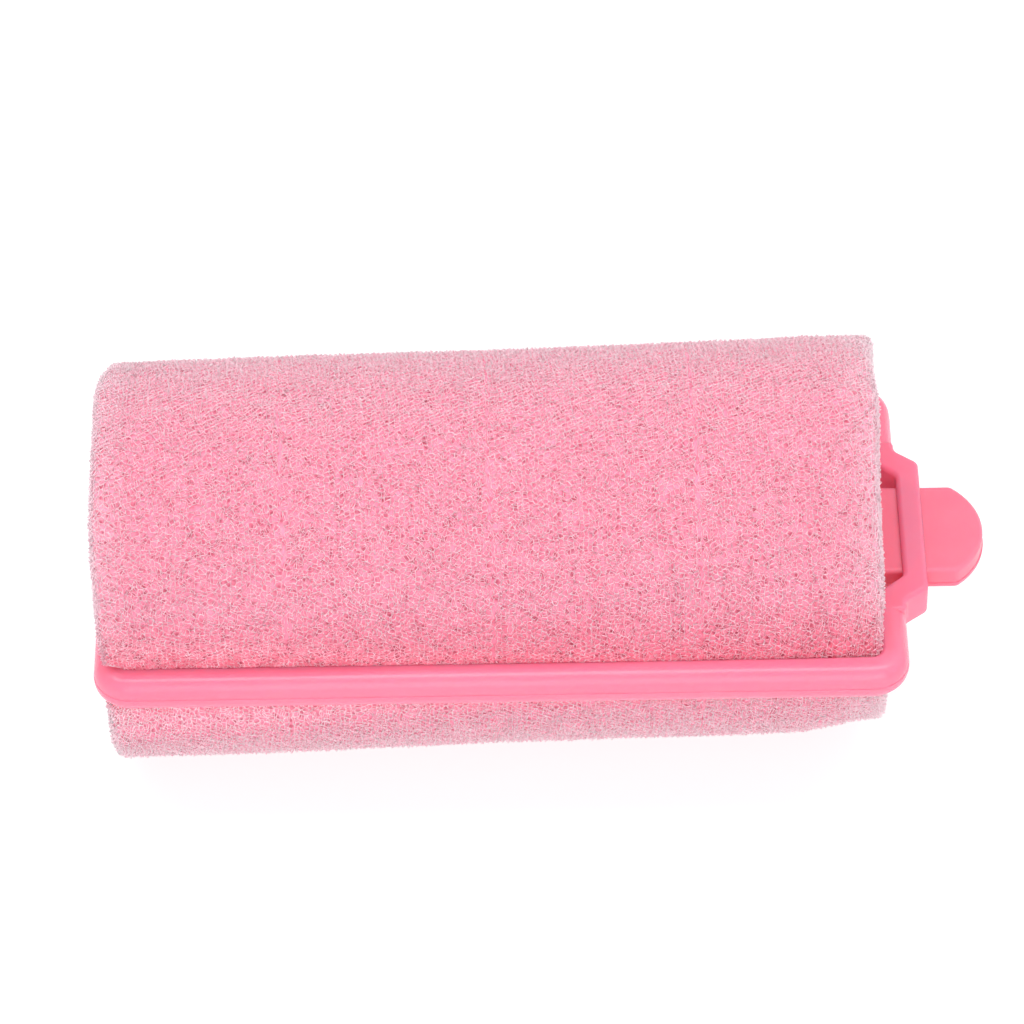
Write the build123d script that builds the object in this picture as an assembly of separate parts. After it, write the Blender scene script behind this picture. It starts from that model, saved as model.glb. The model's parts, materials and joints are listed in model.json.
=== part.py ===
from build123d import *
import math
import os

# A foam hair roller: a foam sleeve on a flat plastic bar, and a hinged clamp frame that closes
# round the foam and latches on the bar's thumb tab.
# Millimetres. +X runs along the roller towards the thumb tab, +Y across it, +Z up.
# The origin is on the small flat that the foam rests on, below the middle of the roller.

# Foam sleeve
FOAM_DIAMETER = 35.0
FOAM_LENGTH = 69.4
REST_FLAT_WIDTH = 6.0

# Clamp frame: a rectangular loop whose halves meet at a small moulding step
FRAME_LEFT = -34.65
FRAME_RIGHT = 37.1
FRAME_HALF_WIDTH = 18.75
RAIL_WIDTH = 2.6
RAIL_HEIGHT = 3.5
FRAME_CORNER_RADIUS = 3.4
PARTING_STEP = 0.05
OUTER_EDGE_RADIUS = 1.5
INNER_EDGE_RADIUS = 0.5

# Latch nose: a crisper block that stands out of the frame's right end
NOSE_TIP = 39.2
NOSE_WALL = 2.15
NOSE_ROOT_HALF_WIDTH = 9.5
NOSE_TIP_HALF_WIDTH = 7.9
NOSE_ROOT_RADIUS = 1.0
NOSE_TIP_RADIUS = 0.8
NOSE_EDGE_RADIUS = 0.45
NOSE_FLARE = 1.2
CAVITY_ROOT_HALF_WIDTH = 8.4
CAVITY_TIP_HALF_WIDTH = 6.3
CAVITY_RADIUS = 0.8
LATCH_SLOT_HALF_WIDTH = 6.0
LATCH_REST_GAP = 0.05
LIP_SIDE_GAP = 0.08
LIP_TOP_GAP = 0.1
LIP_SLOPE = 0.15

# Core bar with its thumb tab
BAR_HALF_WIDTH = 5.35
BAR_THICKNESS = 2.2
BAR_LOWER_THICKNESS = 0.6
BAR_STEP = 0.08
BAR_EDGE_RADIUS = 0.4
TAB_TIP = 44.55
TAB_TIP_RADIUS = 6.8
TAB_CORNER_RADIUS = 0.7

# Hinge at the left end: the frame's round journal in the bar's open hook
JOURNAL_RADIUS = 1.0
HOOK_PLAY = 0.08
HOOK_RADIUS = 1.75
HOOK_MOUTH_WIDTH = 1.65
HOOK_SIDE_GAP = 0.3

# Room that the foam leaves for the frame's swing
SWING_GAP = 0.3
HINGE_RELIEF_RADIUS = 2.4
CORNER_RELIEF_RADIUS = 3.4
CORNER_RELIEF_INSET = 2.2
FAR_CORNER_RELIEF = 0.8

# Worked out from the above
FOAM_RADIUS = FOAM_DIAMETER / 2
AXIS_HEIGHT = math.sqrt(FOAM_RADIUS**2 - (REST_FLAT_WIDTH / 2) ** 2)
HALF_HEIGHT = RAIL_HEIGHT / 2
INNER_LEFT = FRAME_LEFT + RAIL_WIDTH
INNER_RIGHT = FRAME_RIGHT - RAIL_WIDTH
INNER_HALF_WIDTH = FRAME_HALF_WIDTH - RAIL_WIDTH
INNER_CORNER_RADIUS = FRAME_CORNER_RADIUS - RAIL_WIDTH
NOSE_INNER = NOSE_TIP - NOSE_WALL
HINGE_X = FRAME_LEFT + RAIL_WIDTH / 2
HOOK_BORE_RADIUS = JOURNAL_RADIUS + HOOK_PLAY
BAR_TOP = BAR_THICKNESS / 2
JOURNAL_HALF_LENGTH = BAR_HALF_WIDTH + BAR_STEP + HOOK_SIDE_GAP
FAR = 60.0  # longer than any part from its own middle, for cutting tools
OVERCUT = 0.5  # how far a cut runs past the face that it opens


def block(x_range, y_range, z_range):
    """A box from its ranges along X, Y and Z."""
    ranges = (x_range, y_range, z_range)
    size = [high - low for low, high in ranges]
    centre = [(high + low) / 2 for low, high in ranges]
    return Pos(*centre) * Box(*size)


def across(radius, y_range, x=HINGE_X, z=0.0):
    """A round bar along Y."""
    low, high = y_range
    bar = Cylinder(radius, high - low, rotation=(90, 0, 0))
    return Pos(x, (low + high) / 2, z) * bar


def mirrored_outline(points, radii):
    """A closed face from the outline's +Y half, listed from right to left, and its mirror image."""
    other = [(x, -y) for x, y in reversed(points)]
    loop = FilletPolyline(*points, *other, radius=[*radii, *reversed(radii)], close=True)
    return make_face(loop)


def frame_outline():
    points = [(FRAME_RIGHT, FRAME_HALF_WIDTH), (FRAME_LEFT, FRAME_HALF_WIDTH)]
    return mirrored_outline(points, [FRAME_CORNER_RADIUS, FRAME_CORNER_RADIUS])


def nose_outline():
    """The nose's plan, with a flared root that reaches into the frame's right bar."""
    points = [
        (NOSE_TIP, NOSE_TIP_HALF_WIDTH),
        (FRAME_RIGHT, NOSE_ROOT_HALF_WIDTH),
        (FRAME_RIGHT, NOSE_ROOT_HALF_WIDTH + NOSE_FLARE),
        (INNER_RIGHT + INNER_EDGE_RADIUS, NOSE_ROOT_HALF_WIDTH + NOSE_FLARE),
    ]
    radii = [NOSE_TIP_RADIUS, NOSE_ROOT_RADIUS, INNER_EDGE_RADIUS, INNER_EDGE_RADIUS]
    return mirrored_outline(points, radii)


def opening_outline():
    points = [
        (NOSE_INNER, CAVITY_TIP_HALF_WIDTH),
        (INNER_RIGHT, CAVITY_ROOT_HALF_WIDTH),
        (INNER_RIGHT, INNER_HALF_WIDTH),
        (INNER_LEFT, INNER_HALF_WIDTH),
    ]
    radii = [CAVITY_RADIUS, CAVITY_RADIUS, INNER_CORNER_RADIUS, INNER_CORNER_RADIUS]
    return mirrored_outline(points, radii)


def nose_block():
    """The nose before the opening is cut, with its top and bottom edges lightly rounded."""
    nose = extrude(nose_outline(), amount=HALF_HEIGHT, both=True)
    flat_faces = nose.faces().filter_by(Axis.Z)
    return fillet(flat_faces.edges(), NOSE_EDGE_RADIUS)


def frame_loop():
    """The loop with rounded edges. Its upper half is set in by the moulding step."""
    outline = frame_outline()
    lower = extrude(Pos(0, 0, -HALF_HEIGHT) * outline, amount=HALF_HEIGHT)
    lower = fillet(lower.faces().sort_by(Axis.Z)[0].edges(), OUTER_EDGE_RADIUS)
    upper = extrude(offset(outline, -PARTING_STEP), amount=HALF_HEIGHT)
    upper = fillet(upper.faces().sort_by(Axis.Z)[-1].edges(), OUTER_EDGE_RADIUS)
    opening = extrude(opening_outline(), amount=HALF_HEIGHT, both=True)
    loop = lower + upper + nose_block() - opening
    for face in (loop.faces().sort_by(Axis.Z)[0], loop.faces().sort_by(Axis.Z)[-1]):
        loop = fillet(face.inner_wires()[0].edges(), INNER_EDGE_RADIUS)
    return loop


def snap_lip():
    """The small wedge on the +Y leg of the nose, under the tab's edge."""
    top = -BAR_TOP - LIP_TOP_GAP
    inner = BAR_HALF_WIDTH + BAR_STEP + LIP_SIDE_GAP
    profile = [
        (LATCH_SLOT_HALF_WIDTH, top),
        (inner, top - LIP_SLOPE),
        (inner, top - 2 * LIP_SLOPE),
        (LATCH_SLOT_HALF_WIDTH, -HALF_HEIGHT + LIP_SLOPE),
    ]
    plane = Plane.YZ.offset(NOSE_INNER + INNER_EDGE_RADIUS)
    length = NOSE_WALL - INNER_EDGE_RADIUS - NOSE_EDGE_RADIUS
    return extrude(plane * make_face(Polyline(*profile, close=True)), amount=length)


def clamp_frame():
    slot_width = (-LATCH_SLOT_HALF_WIDTH, LATCH_SLOT_HALF_WIDTH)
    slot = block((NOSE_INNER - OVERCUT, FAR), slot_width, (-FAR, BAR_TOP + LATCH_REST_GAP))
    journal_span = (-JOURNAL_HALF_LENGTH, JOURNAL_HALF_LENGTH)
    gap = block((-FAR, INNER_LEFT + OVERCUT), journal_span, (-FAR, FAR))
    lip = snap_lip()
    return frame_loop() - slot - gap + across(JOURNAL_RADIUS, journal_span) + lip + mirror(lip, Plane.XZ)


def bar_plan():
    """Plan of the bar: straight sides and a tab end that is an arc with softened corners."""
    strip = Pos((HINGE_X + TAB_TIP) / 2, 0) * Rectangle(TAB_TIP - HINGE_X, 2 * BAR_HALF_WIDTH)
    tip_centre = TAB_TIP - TAB_TIP_RADIUS
    tip = Pos(tip_centre, 0) * Circle(TAB_TIP_RADIUS)
    body = Pos((HINGE_X + tip_centre) / 2, 0) * Rectangle(tip_centre - HINGE_X, 2 * TAB_TIP_RADIUS)
    plan = strip & (tip + body)
    corners = plan.vertices().filter_by(lambda corner: corner.X > tip_centre + TAB_CORNER_RADIUS)
    return fillet(corners, TAB_CORNER_RADIUS)


def core_bar():
    plan = bar_plan()
    lower_top = -BAR_TOP + BAR_LOWER_THICKNESS
    upper = extrude(Pos(0, 0, lower_top) * plan, amount=BAR_TOP - lower_top)
    upper = fillet(upper.faces().sort_by(Axis.Z)[-1].edges(), BAR_EDGE_RADIUS)
    lower = extrude(Pos(0, 0, -BAR_TOP) * offset(plan, BAR_STEP), amount=BAR_LOWER_THICKNESS)
    lower = fillet(lower.faces().sort_by(Axis.Z)[0].edges(), BAR_EDGE_RADIUS)
    hook_span = (-BAR_HALF_WIDTH, BAR_HALF_WIDTH)
    left_of_hinge = block((-FAR, HINGE_X), (-FAR, FAR), (-FAR, FAR))
    bar = upper + lower - left_of_hinge + across(HOOK_RADIUS, hook_span)
    half_mouth = HOOK_MOUTH_WIDTH / 2
    mouth = block((HINGE_X - half_mouth, HINGE_X + half_mouth), (-FAR, FAR), (-FAR, 0))
    return bar - across(HOOK_BORE_RADIUS, (-FAR, FAR)) - mouth


def swing_relief():
    """What the foam leaves clear for the frame: beside and above the rails, at both ends and corners."""
    floor = -HALF_HEIGHT - SWING_GAP
    side = INNER_HALF_WIDTH - SWING_GAP
    beside = block((-FAR, FAR), (side, FAR), (floor, FAR))
    reach = INNER_RIGHT - HINGE_X - SWING_GAP
    corner_span = (INNER_HALF_WIDTH - CORNER_RELIEF_INSET, FAR)
    beyond = block((0, FAR), (-FAR, FAR), (floor, FAR)) - across(reach, (-FAR, FAR))
    far_corner = block((0, FAR), corner_span, (floor, FAR))
    far_corner -= across(reach - FAR_CORNER_RELIEF, corner_span)
    near_corner = across(CORNER_RELIEF_RADIUS, corner_span)
    both_sides = [beside, far_corner, near_corner]
    slit = block((-FAR, HINGE_X), (-FAR, FAR), (-HINGE_RELIEF_RADIUS, HINGE_RELIEF_RADIUS))
    hinge = across(HINGE_RELIEF_RADIUS, (-FAR, FAR)) + slit
    return [beyond, hinge, *both_sides, *(mirror(room, Plane.XZ) for room in both_sides)]


def foam_sleeve():
    """The foam as it sits round the bar, with room round it for the closed and the swinging frame."""
    foam = Cylinder(FOAM_RADIUS, FOAM_LENGTH, rotation=(0, 90, 0))
    foam -= block((-FAR, FAR), (-FAR, FAR), (-FAR, -AXIS_HEIGHT))
    foam -= block((-FAR, FAR), (-BAR_HALF_WIDTH - BAR_STEP, BAR_HALF_WIDTH + BAR_STEP), (-BAR_TOP, BAR_TOP))
    for room in swing_relief():
        foam -= room
    return foam


def save(name, shape):
    """Raises a part from the frame's middle plane to its height over the rest flat, and writes it."""
    export_step(Pos(0, 0, AXIS_HEIGHT) * shape, f"parts/{name}.step")


os.makedirs("parts", exist_ok=True)
save("core_bar", core_bar())
save("clamp_frame", clamp_frame())
save("foam_sleeve", foam_sleeve())
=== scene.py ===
import json
import math

import bpy
import numpy as np
from mathutils import Matrix, Vector


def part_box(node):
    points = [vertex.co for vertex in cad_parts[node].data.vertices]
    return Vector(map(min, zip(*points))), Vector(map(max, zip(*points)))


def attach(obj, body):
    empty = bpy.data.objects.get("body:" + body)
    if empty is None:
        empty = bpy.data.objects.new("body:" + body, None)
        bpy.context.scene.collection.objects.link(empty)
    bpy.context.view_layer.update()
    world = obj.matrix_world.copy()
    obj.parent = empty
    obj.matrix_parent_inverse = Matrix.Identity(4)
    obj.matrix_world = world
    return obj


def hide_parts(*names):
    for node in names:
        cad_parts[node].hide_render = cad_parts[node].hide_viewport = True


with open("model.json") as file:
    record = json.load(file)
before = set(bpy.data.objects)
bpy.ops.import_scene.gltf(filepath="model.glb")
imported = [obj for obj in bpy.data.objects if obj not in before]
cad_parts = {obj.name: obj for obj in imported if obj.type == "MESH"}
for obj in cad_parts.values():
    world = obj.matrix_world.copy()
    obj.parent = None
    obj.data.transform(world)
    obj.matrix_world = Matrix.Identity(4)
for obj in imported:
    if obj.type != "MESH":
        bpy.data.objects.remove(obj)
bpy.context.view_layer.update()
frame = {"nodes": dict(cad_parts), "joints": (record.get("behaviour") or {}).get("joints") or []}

MM = 0.001

# Places taken from the frame
HINGE = Vector(frame["joints"][0]["pos_m"])
FOAM_LOW, FOAM_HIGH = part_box("foam_sleeve")
CLAMP_LOW, CLAMP_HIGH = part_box("clamp_frame")
AXIS_HEIGHT = HINGE.z
FOAM_RADIUS = FOAM_HIGH.z - AXIS_HEIGHT
FOAM_HALF_LENGTH = (FOAM_HIGH.x - FOAM_LOW.x) / 2
RAIL_WIDTH = 2 * (HINGE.x - CLAMP_LOW.x)
RAIL_HALF_HEIGHT = (CLAMP_HIGH.z - CLAMP_LOW.z) / 2
RAIL_INSIDE = CLAMP_HIGH.y - RAIL_WIDTH

# The foam's skin: a rounded edge at each cut end, lumps and grain, and the size of its faces
RIM_RADIUS = 0.9 * MM
END_LEAN_LENGTH = 7 * MM
LARGE_LUMPS = 0.16 * MM
SMALL_LUMPS = 0.06 * MM
FINE_GRAIN = 0.07 * MM
COARSE_GRAIN = 0.05 * MM
SKIN_DEPTH = 0.32 * MM
SKIN_STEP = 0.34 * MM
CAP_STEP = 0.6 * MM

# Where the cut ends stand out or lie back: millimetres inwards, and a middle and a width in degrees
LEFT_END_HUMPS = ((0.65, 178, 16), (0.4, 50, 12))
RIGHT_END_HUMPS = ((-0.25, 90, 14), (-0.35, 203, 16), (-0.5, 50, 12), (-0.5, 225, 10))

# How the foam lies in the closed clamp
SKIN_SKEW = math.radians(1.7)
RAIL_EDGE_RADIUS = 0.5 * MM
RAIL_PLAY = 0.02 * MM
RAIL_RAGGED = 0.1 * MM
BODY_INSET = 0.12 * MM
SAG = 0.5 * MM
HINGE_GROOVE = 2.35 * MM
HINGE_GROOVE_SLOPE = 6 * MM
RIGHT_BAR_INSIDE = FOAM_HIGH.x - 0.2 * MM
REST_ROUNDING = 0.4 * MM

# The open cells: an uneven honeycomb of struts that rise and dip over the skin, in layers
CELL = 0.5 * MM
STRUT = 0.042 * MM
HUB_JITTER = 0.33
HUB_RISE = 0.03 * MM
HUB_DIP = 0.22 * MM
CUT_OFF_RISE = 0.07 * MM
WEB_BEND = 0.6 * CELL
WEB_BEND_SIZE = 2.2 * MM
END_WEB_BEND = 1.6
WEB_BAND = 1.3 * MM
WEB_SECTIONS = 4
WEB_LAYERS = 2
MISSING_STRUTS = 0.05
RANDOM_SEED = 7

# Colours
# Cell wall colours: plain, paler at the cut ends as painted light, and deeper by the clamp as painted shade
# with a red glow
PLAIN_WALL, END_LIT_WALL, CLAMP_SHADED_WALL = (0.99, 0.36, 0.5), (0.98, 0.48, 0.6), (0.99, 0.23, 0.34)
# Pore colours: painted shade in the foam's holes, deeper still by the clamp, where the painted shade carries
# a red glow
PORE_SHADE, CLAMP_SHADED_PORE = (0.6, 0.13, 0.2), (0.4, 0.035, 0.07)
# Plain strut colour and the paler colour of painted glints
STRUT_GLINT_PAIR = (1.0, 0.53, 0.65), (1.0, 0.8, 0.86)
# Struts by the clamp: painted shade with a red glow, with their painted glints
CLAMP_SHADED_STRUT_GLINTS = (1.0, 0.33, 0.45), (1.0, 0.7, 0.79)
# Paler struts at the cut ends: painted light seen through the ends
END_LIT_STRUTS = (1.0, 0.76, 0.83)
BAR_PINK = (0.97, 0.19, 0.29)
FRAME_PINK = (0.98, 0.2, 0.32)

# The camera looks at the roller from the front and above
CAMERA_SIDE = math.radians(0.3)
CAMERA_HEIGHT = math.radians(45)
CAMERA_ROLL = math.radians(1.15)
CAMERA_TARGET = 0.3 * MM, 0, AXIS_HEIGHT
CAMERA_DISTANCE = 499 * MM
CAMERA_SHIFT = 2.05 * MM, 2.8 * MM
CAMERA_LENS = 195.1


# ---------------------------------------------------------------- arrays and meshes

def smooth_min(a, b, width):
    """The lower of a and b, rounded off where they cross."""
    h = np.clip(0.5 + 0.5 * (b - a) / width, 0, 1)
    return b + (a - b) * h - width * h * (1 - h)


def smooth_step(x, low, high):
    t = np.clip((x - low) / (high - low), 0, 1)
    return t * t * (3 - 2 * t)


def lattice_random(cells, seed):
    """A repeatable random number from 0 to 1 for each whole-number lattice point."""
    key = cells[..., 0] * 73856093 ^ cells[..., 1] * 19349663 ^ cells[..., 2] * 83492791
    key = (key + seed * 2654435761) & 0xFFFFFFFF
    key = (key ^ (key >> 15)) * 2246822519 & 0xFFFFFFFF
    key = (key ^ (key >> 13)) * 3266489917 & 0xFFFFFFFF
    key = key ^ (key >> 16)
    return (key & 0xFFFFFF) / float(0x1000000)


def value_noise(points, size, seed):
    """Smooth random values from -1 to 1 that change over about the given size."""
    scaled = points / size
    base = np.floor(scaled).astype(np.int64)
    part = scaled - base
    part = part * part * (3 - 2 * part)
    total = np.zeros(points.shape[:-1])
    for corner in np.ndindex(2, 2, 2):
        weight = np.ones(points.shape[:-1])
        for axis, far in enumerate(corner):
            weight = weight * (part[..., axis] if far else 1 - part[..., axis])
        total += weight * lattice_random(base + np.array(corner), seed)
    return 2 * total - 1


def unit(vectors):
    length = np.linalg.norm(vectors, axis=-1, keepdims=True)
    return vectors / np.maximum(length, 1e-12)


def mesh_object(name, points, smooth_faces, flat_faces=()):
    """A new mesh object from its points and lists of face arrays, each with its own corner count."""
    mesh = bpy.data.meshes.new(name)
    face_arrays = [*smooth_faces, *flat_faces]
    smooth_count = sum(len(faces) for faces in smooth_faces)
    corners = np.concatenate([faces.ravel() for faces in face_arrays])
    counts = np.concatenate([np.full(len(faces), faces.shape[1]) for faces in face_arrays])
    mesh.vertices.add(len(points))
    mesh.vertices.foreach_set("co", points.astype(np.float32).ravel())
    mesh.loops.add(len(corners))
    mesh.loops.foreach_set("vertex_index", corners.astype(np.int32))
    mesh.polygons.add(len(counts))
    mesh.polygons.foreach_set("loop_start", (np.cumsum(counts) - counts).astype(np.int32))
    mesh.polygons.foreach_set("use_smooth", np.arange(len(counts)) < smooth_count)
    mesh.update()
    mesh.validate()
    obj = bpy.data.objects.new(name, mesh)
    bpy.context.scene.collection.objects.link(obj)
    return obj


# ---------------------------------------------------------------- shape of the foam

def hump(angle, middle, width):
    """1 at the middle angle, falling to 0 over about the width. Both are in degrees."""
    past = (angle - math.radians(middle) + math.pi) % (2 * math.pi) - math.pi
    return np.exp(-((past / math.radians(width)) ** 2))


def end_shift(angle):
    """How far the left and right cut ends lie in from the foam's full length, round the foam's axis."""
    to_front = np.cos(2 * (angle - math.radians(135)))
    wave = 0.12 * np.sin(3 * angle + 0.6) + 0.07 * np.sin(7 * angle + 2.0)
    left = 0.55 * (1 - to_front) - 0.2 + wave
    right = 0.25 + 0.3 * to_front - 0.8 * wave
    left = left + sum(amount * hump(angle, middle, width) for amount, middle, width in LEFT_END_HUMPS)
    right = right + sum(amount * hump(angle, middle, width) for amount, middle, width in RIGHT_END_HUMPS)
    return left * MM, right * MM


def unpressed_point(run, angle):
    """A point of the free foam's skin. Run follows its profile from the middle of its length."""
    side = np.sign(run)
    straight = FOAM_HALF_LENGTH - RIM_RADIUS
    past = np.abs(run) - straight
    turn = np.clip(past / RIM_RADIUS, 0, math.pi / 2)
    inward = np.maximum(past - RIM_RADIUS * math.pi / 2, 0)
    x = np.minimum(np.abs(run), straight) + RIM_RADIUS * np.sin(turn)
    radius = FOAM_RADIUS - RIM_RADIUS * (1 - np.cos(turn)) - inward
    left, right = end_shift(angle)
    near_end = smooth_step(x, FOAM_HALF_LENGTH - END_LEAN_LENGTH, FOAM_HALF_LENGTH)
    share = near_end * (radius / FOAM_RADIUS) ** 2
    x = side * (x - share * np.where(side < 0, left, right))
    return np.stack([x, radius * np.cos(angle), radius * np.sin(angle)], axis=-1)


def skin(run, angle):
    """Points of the free foam's skin with its gentle lumps, and their outward normals."""
    step = 0.05 * MM
    point = unpressed_point(run, angle)
    along = unpressed_point(run + step, angle) - unpressed_point(run - step, angle)
    turn = step / FOAM_RADIUS
    around = unpressed_point(run, angle + turn) - unpressed_point(run, angle - turn)
    normal = unit(np.cross(around, along))
    lumps = LARGE_LUMPS * value_noise(point, 9 * MM, seed=3)
    lumps = lumps + SMALL_LUMPS * value_noise(point, 2.4 * MM, seed=4)
    return point + normal * lumps[..., None], normal


def between_rails(points, y, past_rail, inset):
    """How far out each point lies once the rails pinch it. Past their rounded edges it leans out a little."""
    ragged = RAIL_RAGGED * value_noise(points, 0.7 * MM, seed=31)
    ragged = ragged * smooth_step(past_rail, 0, RAIL_EDGE_RADIUS)
    follow = 0.55 * np.minimum(past_rail, RAIL_EDGE_RADIUS) + 0.15 * past_rail
    inset = inset * smooth_step(past_rail, 0.3 * MM, 1.3 * MM)
    limit = RAIL_INSIDE + RAIL_PLAY + follow + ragged - inset
    return np.sign(y) * smooth_min(np.abs(y), limit, 0.4 * MM)


def sag_below_clamp(x, y, z):
    """How far the foam swells below the clamp. At its right end it draws in instead."""
    swell = 1 - 2 * smooth_step(x, FOAM_HALF_LENGTH - 8 * MM, FOAM_HALF_LENGTH)
    below = smooth_step(-z, 3 * MM, 8 * MM) * smooth_step(np.abs(y), 4 * MM, 11 * MM)
    return SAG * swell * below


def pressed(points, inset=0.0):
    """The foam as it lies in the closed clamp: skewed, pinched by the rails, flat where it rests.

    The inset keeps the foam's body in from its struts beside the rails.
    """
    x, y, z = points[..., 0], points[..., 1], points[..., 2]
    cos, sin = math.cos(SKIN_SKEW), math.sin(SKIN_SKEW)
    x, y = x * cos - y * sin, x * sin + y * cos
    past_rail = np.maximum(np.abs(z) - RAIL_HALF_HEIGHT + RAIL_EDGE_RADIUS, 0)
    y = between_rails(points, y, past_rail, inset)
    sag = sag_below_clamp(x, y, z)
    y = y + np.sign(y) * 0.6 * sag
    z = z - 0.8 * sag
    groove = np.sqrt(np.maximum(HINGE_GROOVE**2 - z**2, 0))
    beside_groove = smooth_step(np.abs(z), 0.9 * HINGE_GROOVE, 1.6 * HINGE_GROOVE)
    groove_floor = HINGE.x + groove - HINGE_GROOVE_SLOPE * beside_groove
    x = -smooth_min(-x, -groove_floor, 0.5 * MM)
    x = smooth_min(x, RIGHT_BAR_INSIDE + 0.8 * past_rail, 0.3 * MM)
    z = AXIS_HEIGHT - smooth_min(-z, np.full_like(z, AXIS_HEIGHT), REST_ROUNDING)
    return np.stack([x, y, np.maximum(z, 0)], axis=-1)


def foam_skin():
    """The foam's closed body, a little under the struts that stand on it."""
    around = round(2 * math.pi * FOAM_RADIUS / SKIN_STEP)
    angle = np.arange(around) * 2 * math.pi / around
    rim = FOAM_HALF_LENGTH - RIM_RADIUS
    face = rim + RIM_RADIUS * math.pi / 2
    middle = face + FOAM_RADIUS - RIM_RADIUS
    skin_runs = np.linspace(-rim, rim, round(2 * rim / SKIN_STEP))
    rim_runs = np.linspace(rim, face, 6)[1:]
    cap_runs = np.linspace(face, middle, round((middle - face) / CAP_STEP))[1:-1]
    outer = np.concatenate([rim_runs, cap_runs])
    run = np.concatenate([-outer[::-1], skin_runs, outer])[:, None] + 0 * angle
    points, normal = skin(run, angle + 0 * run)
    grain = FINE_GRAIN * value_noise(points, 0.6 * CELL, seed=6)
    grain = grain + COARSE_GRAIN * value_noise(points, 1.3 * CELL, seed=7)
    points = pressed(points + normal * (grain[..., None] - SKIN_DEPTH), inset=BODY_INSET)
    rings = len(run)
    row = np.arange(rings - 1)[:, None] * around
    column = np.arange(around)[None, :]
    after = (column + 1) % around
    sides = np.stack([row + column, row + after, row + around + after, row + around + column], axis=-1)
    first = np.arange(around)[::-1][None, :]
    last = ((rings - 1) * around + np.arange(around))[None, :]
    return mesh_object("foam_body", points.reshape(-1, 3), [sides.reshape(-1, 4), first, last])


# ---------------------------------------------------------------- struts of the foam's open cells

def honeycomb(rows, columns, rng):
    """Places of a honeycomb's two kinds of hub, in cells, made uneven, and the struts' far hubs.

    Each hub has three arms in anticlockwise order. Arm k of a first hub is arm k + 1 of its far hub.
    """
    column, row = np.meshgrid(np.arange(columns), np.arange(rows))
    across = column + row / 2
    first = np.stack([across + 1 / 2, row + 1 / 3], axis=-1)
    second = np.stack([across + 1, row + 2 / 3], axis=-1)
    places = np.stack([first, second])
    places = places + (2 * rng.random(places.shape) - 1) * HUB_JITTER
    index = np.arange(rows * columns).reshape(rows, columns)
    far = np.stack([index, np.roll(index, 1, axis=1), np.roll(index, 1, axis=0)], axis=-1)
    return places.reshape(-1, 2), far.reshape(-1, 3) + rows * columns


def strut_heights(count, layer, rng):
    """First hubs stand up to the foam's cut surface, and second hubs dip to its skin.

    The inner layer lies lower. In the outer layer a few struts are cut off and stand out.
    """
    cut_off = rng.random(count // 2) > 0.86
    first = HUB_RISE - 0.15 * MM * layer + 0.16 * MM * (rng.random(count // 2) - 0.5)
    first = first + CUT_OFF_RISE * cut_off * (1 - layer)
    second = -HUB_DIP - 0.08 * MM * layer + 0.14 * MM * (rng.random(count // 2) - 0.5)
    return np.concatenate([first, second])


def web_points(hubs, normals, far):
    """For each hub, a ridge point and the three side points between its arms."""
    half = len(hubs) // 2
    line = unit(hubs[far] - hubs[:half, None])
    arms = np.zeros((len(hubs), 3, 3))
    arms[:half] = line
    for k in range(3):
        arms[far[:, k], (k + 1) % 3] = -line[:, k]
    lift = (arms * normals[:, None]).sum(axis=-1, keepdims=True)
    arms = unit(arms - lift * normals[:, None])
    between = unit(arms + np.roll(arms, -1, axis=1) - np.roll(arms, -2, axis=1))
    depth = 0.8 * STRUT * normals[:, None]
    return np.concatenate([hubs[:, None] + depth, hubs[:, None] + STRUT * between - depth], axis=1)


def web_faces(far, kept):
    """Three faces along each kept strut, one under each hub, and one closing each missing arm."""
    half = len(far)
    all_kept = np.zeros((2 * half, 3), bool)
    all_kept[:half] = kept
    sides, bottoms, triangles = [], [], []
    for k in range(3):
        m = (k + 1) % 3
        all_kept[far[:, k], m] = kept[:, k]
        a = 4 * np.arange(half)[kept[:, k]]
        b = 4 * far[kept[:, k], k]
        a_left, a_right, b_left, b_right = a + 1 + k, a + 1 + (k - 1) % 3, b + 1 + (m - 1) % 3, b + 1 + m
        sides += [(a, b, b_left, a_left), (b, a, a_right, b_right)]
        bottoms.append((a_left, b_left, b_right, a_right))
    used = all_kept.any(axis=1)
    hub = 4 * np.arange(2 * half)
    triangles.append((hub[used] + 3, hub[used] + 2, hub[used] + 1))
    for k in range(3):
        end = hub[used & ~all_kept[:, k]]
        triangles.append((end + 1 + k, end, end + 1 + (k - 1) % 3))
    groups = (sides, bottoms, triangles)
    return [np.concatenate([np.stack(face, axis=1) for face in group]) for group in groups], used


def web_object(name, points, far, kept):
    groups, used = web_faces(far, kept)
    new_index = np.cumsum(np.repeat(used, 4)) - 1
    sides, bottoms, triangles = (new_index[group] for group in groups)
    return mesh_object(name, points[used].reshape(-1, 3), [sides], [bottoms, triangles])


def wavy(x, y, z, layer):
    """How far the honeycomb's straight rows are bent at each place, in two directions."""
    points = np.stack([x, y, z], axis=-1)
    return [WEB_BEND * value_noise(points, WEB_BEND_SIZE, seed + layer) for seed in (11, 21)]


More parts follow.
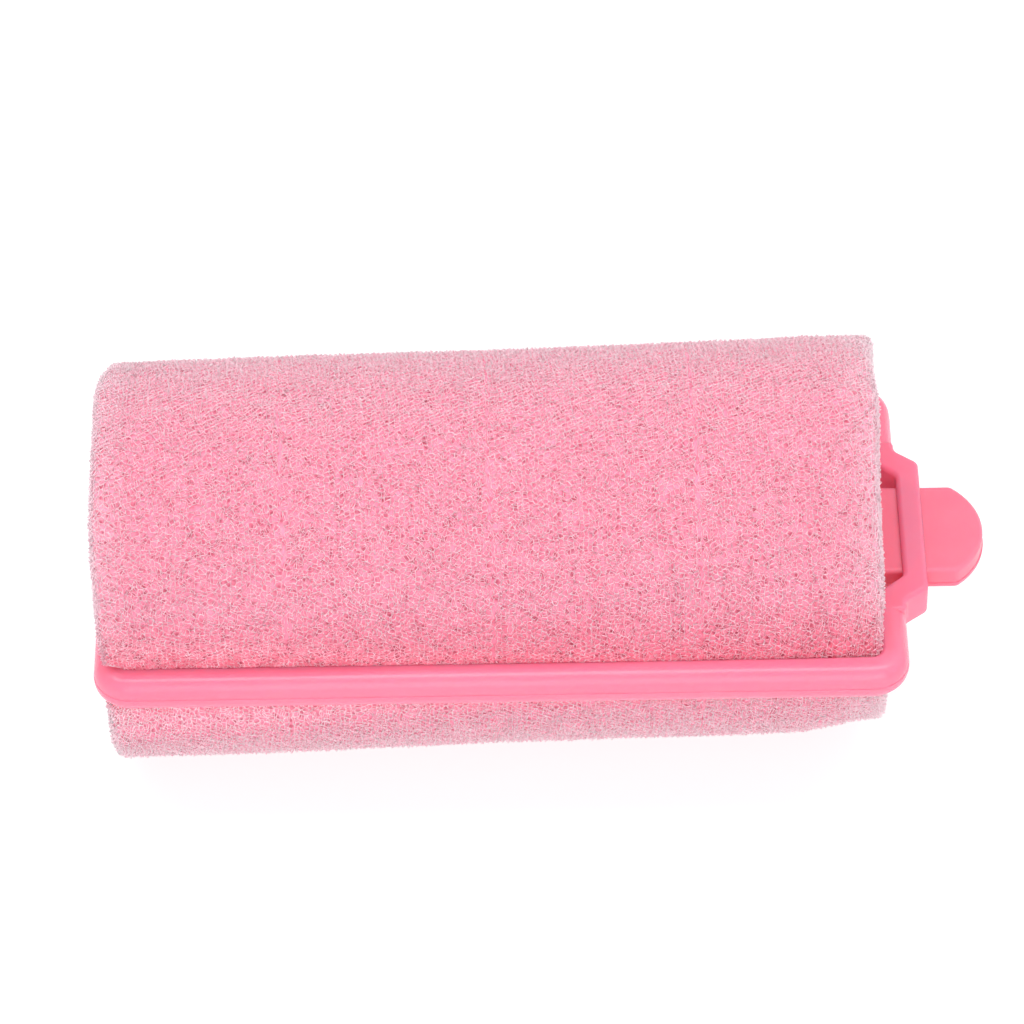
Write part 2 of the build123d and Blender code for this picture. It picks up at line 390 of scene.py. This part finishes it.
def side_web(layer, rng):
    """One layer of struts round the foam and over its rounded edges, in sections along its length."""
    columns = round(2 * math.pi * FOAM_RADIUS / CELL)
    length = 2 * (FOAM_HALF_LENGTH + (math.pi / 2 - 1) * RIM_RADIUS + WEB_BAND)
    rows = round(length / (CELL * math.sqrt(3) / 2))
    places, far = honeycomb(rows, columns, rng)
    run = (places[:, 1] / rows - 0.5) * length
    angle = places[:, 0] / columns * 2 * math.pi
    shift_run, shift_around = wavy(run, FOAM_RADIUS * np.cos(angle), FOAM_RADIUS * np.sin(angle), layer)
    hubs, normals = skin(run + shift_run, angle + shift_around / FOAM_RADIUS)
    hubs = hubs + normals * strut_heights(len(hubs), layer, rng)[:, None]
    points = pressed(web_points(hubs, normals, far))
    row = np.arange(rows * columns) // columns
    far_row = (far - rows * columns) // columns
    kept = rng.random(far.shape) > MISSING_STRUTS
    kept &= (row > 0)[:, None] & (row < rows - 1)[:, None] & (far_row > 0) & (far_row < rows - 1)
    section = row * WEB_SECTIONS // rows
    far_section = far_row * WEB_SECTIONS // rows
    for k in range(WEB_SECTIONS):
        inside = (section == k)[:, None] & (far_section == k)
        yield web_object(f"foam_struts_layer_{layer + 1}_part_{k + 1}", points, far, kept & inside)


def end_web(side, layer, rng):
    """One layer of struts on a cut end of the foam, inside those that come over its rounded edge."""
    outer = FOAM_RADIUS - RIM_RADIUS - WEB_BAND + 2 * CELL
    size = 2 * math.ceil(outer / CELL * 1.3)
    places, far = honeycomb(size, size, rng)
    places = places - [0.75 * size, size / 2]
    y = places[:, 0] * CELL
    z = places[:, 1] * CELL * math.sqrt(3) / 2
    shift_y, shift_z = wavy(np.full_like(y, side * FOAM_HALF_LENGTH), y, z, layer)
    y, z = y + END_WEB_BEND * shift_y, z + END_WEB_BEND * shift_z
    radius = np.hypot(y, z)
    edge_run = FOAM_HALF_LENGTH + (math.pi / 2 - 1) * RIM_RADIUS
    run = side * (edge_run + FOAM_RADIUS - RIM_RADIUS - radius)
    hubs, normals = skin(run, np.arctan2(z, side * y))
    hubs = hubs + normals * strut_heights(len(hubs), layer, rng)[:, None]
    points = pressed(web_points(hubs, normals, far))
    inside = radius < outer
    kept = (rng.random(far.shape) > MISSING_STRUTS) & inside[: len(far), None] & inside[far]
    end = "left" if side < 0 else "right"
    return web_object(f"foam_struts_layer_{layer + 1}_{end}_end", points, far, kept)


# ---------------------------------------------------------------- materials

def new_material(name, **sockets):
    material = bpy.data.materials.new(name)
    material.use_nodes = True
    tree = material.node_tree
    shader = tree.nodes["Principled BSDF"]
    for socket, value in sockets.items():
        shader.inputs[socket.replace("_", " ")].default_value = value
    return material, tree, shader


def add_node(tree, kind, inputs=(), **settings):
    """A new node with its settings, and its input sockets set or linked by name."""
    node = tree.nodes.new(kind)
    for key, value in settings.items():
        setattr(node, key, value)
    for key, value in dict(inputs).items():
        if isinstance(value, bpy.types.NodeSocket):
            tree.links.new(value, node.inputs[key])
        else:
            node.inputs[key].default_value = value
    return node


def remap(tree, value, low, high, new_low, new_high):
    sockets = {"Value": value, "From Min": low, "From Max": high, "To Min": new_low, "To Max": new_high}
    return add_node(tree, "ShaderNodeMapRange", sockets).outputs["Result"]


def object_place(tree):
    return add_node(tree, "ShaderNodeTexCoord").outputs["Object"]


def noise(tree, place, size, detail=2.0):
    return add_node(tree, "ShaderNodeTexNoise", {"Vector": place, "Scale": 1 / size, "Detail": detail})


def colour_blend(tree, fac, first, second):
    """A colour between two others. Each may be a colour or another node's socket."""
    mix = add_node(tree, "ShaderNodeMix", data_type="RGBA")
    for socket, value in ((mix.inputs[0], fac), (mix.inputs[6], first), (mix.inputs[7], second)):
        if isinstance(value, bpy.types.NodeSocket):
            tree.links.new(value, socket)
        else:
            socket.default_value = value if socket is mix.inputs[0] else (*value, 1)
    return mix.outputs[2]


# Painted light: how near a point lies to the foam's cut ends, where the colour is made paler as if light came
# through them
def painted_end_light(tree, place):
    along = add_node(tree, "ShaderNodeSeparateXYZ", {"Vector": place}).outputs["X"]
    from_middle = add_node(tree, "ShaderNodeMath", {0: along}, operation="ABSOLUTE").outputs[0]
    return remap(tree, from_middle, FOAM_HALF_LENGTH - 4 * MM, FOAM_HALF_LENGTH, 0.0, 1.0)


def painted_clamp_shade(tree, place):
    """Painted shade with a red glow: the foam's colour is made deeper near the clamp's rails, above all on
    its upper side.
    """
    height = add_node(tree, "ShaderNodeSeparateXYZ", {"Vector": place}).outputs["Z"]
    above = remap(tree, height, AXIS_HEIGHT + 8 * MM, AXIS_HEIGHT + RAIL_HALF_HEIGHT, 0.0, 1.0)
    below = remap(tree, height, AXIS_HEIGHT - 4 * MM, AXIS_HEIGHT - RAIL_HALF_HEIGHT, 0.0, 1.0)
    return add_node(tree, "ShaderNodeMath", {0: above, 1: below}, operation="MULTIPLY").outputs[0]


def haze(tree, place):
    """The sheen of the outer struts: a pale haze where the foam's round side is seen edge-on."""
    outwards = add_node(
        tree,
        "ShaderNodeVectorMath",
        {0: place, 1: (0, 1, 1), 2: (0, 0, -AXIS_HEIGHT)},
        operation="MULTIPLY_ADD",
    ).outputs[0]
    normal = add_node(tree, "ShaderNodeVectorMath", {0: outwards}, operation="NORMALIZE").outputs[0]
    edge_on = add_node(tree, "ShaderNodeLayerWeight", {"Blend": 0.5, "Normal": normal}).outputs["Facing"]
    return remap(tree, edge_on, 0.15, 0.7, 0.0, 1.0)


def foam_material():
    """The foam seen below its outer struts: small pores painted dark as their shade, between paler cell
    walls.
    """
    material, tree, shader = new_material(
        "foam_depth",
        Roughness=0.9,
        Specular_IOR_Level=0.2,
        Subsurface_Weight=0.6,
        Subsurface_Radius=(1.0, 0.4, 0.5),
        Subsurface_Scale=0.4 * MM,
        Sheen_Weight=0.2,
        Sheen_Roughness=0.5,
    )
    place = object_place(tree)
    bend = noise(tree, place, 0.7 * MM)
    bent = add_node(
        tree,
        "ShaderNodeVectorMath",
        {0: bend.outputs["Color"], 1: (0.35 * MM,) * 3, 2: place},
        operation="MULTIPLY_ADD",
    ).outputs[0]
    cells = add_node(tree, "ShaderNodeTexVoronoi", {"Vector": bent, "Scale": 1 / (0.55 * MM)})
    hollow = remap(tree, cells.outputs["Distance"], 0.15, 0.6, 1.0, 0.0)
    patches = noise(tree, place, 1.2 * MM, detail=4.0)
    openness = remap(tree, patches.outputs["Fac"], 0.36, 0.6, 0.3, 1.0)
    # Painted shade: the pores are darkened where the cells are hollow
    dark = add_node(tree, "ShaderNodeMath", {0: hollow, 1: openness}, operation="MULTIPLY").outputs[0]
    # Painted light: the walls are paler at the cut ends
    wall = colour_blend(tree, painted_end_light(tree, place), PLAIN_WALL, END_LIT_WALL)
    # Painted shade with a red glow: the walls deepen near the clamp
    wall = colour_blend(tree, painted_clamp_shade(tree, place), wall, CLAMP_SHADED_WALL)
    # Painted shade with a red glow: the pores deepen further near the clamp
    pore = colour_blend(tree, painted_clamp_shade(tree, place), PORE_SHADE, CLAMP_SHADED_PORE)
    colour = colour_blend(tree, dark, wall, pore)
    tree.links.new(colour, shader.inputs["Base Color"])
    return material


def strut_material():
    """The foam's own thin struts, with paler stretches painted on at random as glints."""
    material, tree, shader = new_material(
        "foam_struts",
        Roughness=0.6,
        Specular_IOR_Level=0.06,
        Sheen_Roughness=0.5,
    )
    place = object_place(tree)
    patches = noise(tree, place, 0.3 * MM)
    # Painted glints: random paler stretches along the struts
    along = remap(tree, patches.outputs["Fac"], 0.4, 0.66, 0.0, 1.0)
    colour = colour_blend(tree, along, *STRUT_GLINT_PAIR)
    colour = colour_blend(tree, painted_end_light(tree, place), colour, END_LIT_STRUTS)
    # Painted shade with a red glow near the clamp, glints included
    deep = colour_blend(tree, along, *CLAMP_SHADED_STRUT_GLINTS)
    colour = colour_blend(tree, painted_clamp_shade(tree, place), colour, deep)
    tree.links.new(colour, shader.inputs["Base Color"])
    tree.links.new(haze(tree, place), shader.inputs["Sheen Weight"])
    return material


def plastic_material(name, colour, roughness):
    """Translucent moulded plastic with very faint flow marks."""
    material, tree, shader = new_material(
        name,
        Specular_IOR_Level=0.45,
        Subsurface_Weight=0.75,
        Subsurface_Radius=(1.0, 0.15, 0.2),
        Subsurface_Scale=1.5 * MM,
    )
    place = object_place(tree)
    stretched = add_node(tree, "ShaderNodeMapping", {"Vector": place, "Scale": (0.3, 1.0, 1.0)}).outputs[0]
    flow = noise(tree, stretched, 5 * MM)
    paler = tuple(0.9 * channel + 0.1 for channel in colour)
    shade = remap(tree, flow.outputs["Fac"], 0.2, 0.8, 0.0, 0.4)
    tree.links.new(colour_blend(tree, shade, colour, paler), shader.inputs["Base Color"])
    gloss = remap(tree, flow.outputs["Fac"], 0.2, 0.8, roughness - 0.03, roughness + 0.03)
    tree.links.new(gloss, shader.inputs["Roughness"])
    grain = noise(tree, place, 0.6 * MM)
    relief = {"Height": grain.outputs["Fac"], "Strength": 0.04, "Distance": 0.05 * MM}
    bump = add_node(tree, "ShaderNodeBump", relief)
    tree.links.new(bump.outputs["Normal"], shader.inputs["Normal"])
    return material


# ---------------------------------------------------------------- stage, light and camera

def floor():
    half = 1.5
    points = np.array([[-half, -half, 0], [half, -half, 0], [half, half, 0], [-half, half, 0]])
    obj = mesh_object("floor", points, [np.array([[0, 1, 2, 3]])])
    material = new_material(
        "floor",
        Base_Color=(0.35, 0.35, 0.35, 1),
        Roughness=0.9,
        Specular_IOR_Level=0.1,
        Emission_Color=(1, 1, 1, 1),
        Emission_Strength=0.76,
    )[0]
    obj.data.materials.append(material)


def area_light(name, place, size, power):
    light = bpy.data.lights.new(name, "AREA")
    light.shape = "RECTANGLE"
    light.size, light.size_y = size
    light.energy = power
    obj = bpy.data.objects.new(name, light)
    obj.location = place
    towards = Vector((0, 0, AXIS_HEIGHT)) - Vector(place)
    obj.rotation_euler = towards.to_track_quat("-Z", "Y").to_euler()
    bpy.context.scene.collection.objects.link(obj)


def lights():
    area_light("overhead", (0, 0, 0.6), (0.8, 0.2), 2.1)
    area_light("front_fill", (0.1, -0.7, 0.4), (0.9, 0.5), 2.5)
    world = bpy.data.worlds.new("studio")
    bpy.context.scene.world = world
    world.use_nodes = True
    world.node_tree.nodes["Background"].inputs["Color"].default_value = (1, 1, 1, 1)
    world.node_tree.nodes["Background"].inputs["Strength"].default_value = 0.71
    bpy.context.scene.view_settings.view_transform = "Standard"


def camera():
    """The camera stands to the front and above, turned a little about its own line of sight."""
    level = Vector((math.sin(CAMERA_SIDE), -math.cos(CAMERA_SIDE), 0))
    back = level * math.cos(CAMERA_HEIGHT) + Vector((0, 0, math.sin(CAMERA_HEIGHT)))
    right = Vector((math.cos(CAMERA_SIDE), math.sin(CAMERA_SIDE), 0))
    up = back.cross(right)
    shift_right, shift_up = CAMERA_SHIFT
    target = Vector(CAMERA_TARGET) + right * shift_right + up * shift_up
    turned_right = right * math.cos(CAMERA_ROLL) - up * math.sin(CAMERA_ROLL)
    turned_up = right * math.sin(CAMERA_ROLL) + up * math.cos(CAMERA_ROLL)
    data = bpy.data.cameras.new("camera")
    data.sensor_width = 36
    data.lens = CAMERA_LENS
    data.clip_start = 10 * MM
    obj = bpy.data.objects.new("camera", data)
    turn = Matrix((turned_right, turned_up, back)).transposed()
    obj.matrix_world = Matrix.Translation(target + back * CAMERA_DISTANCE) @ turn.to_4x4()
    bpy.context.scene.collection.objects.link(obj)
    bpy.context.scene.camera = obj


# ---------------------------------------------------------------- the whole object

def foam_piece(piece, material):
    piece.data.materials.append(material)
    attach(piece, "roller_core")
    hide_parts("foam_sleeve")


camera()
lights()
floor()

body = foam_skin()
foam_piece(body, foam_material())

random = np.random.default_rng(RANDOM_SEED)
struts = strut_material()
for layer in range(WEB_LAYERS):
    for web in [*side_web(layer, random), end_web(-1, layer, random), end_web(1, layer, random)]:
        foam_piece(web, struts)

plastics = {
    "core_bar": plastic_material("bar_plastic", BAR_PINK, 0.3),
    "clamp_frame": plastic_material("frame_plastic", FRAME_PINK, 0.24),
}
for name, material in plastics.items():
    cad_mesh = frame["nodes"][name].data
    cad_mesh.materials.clear()
    cad_mesh.materials.append(material)
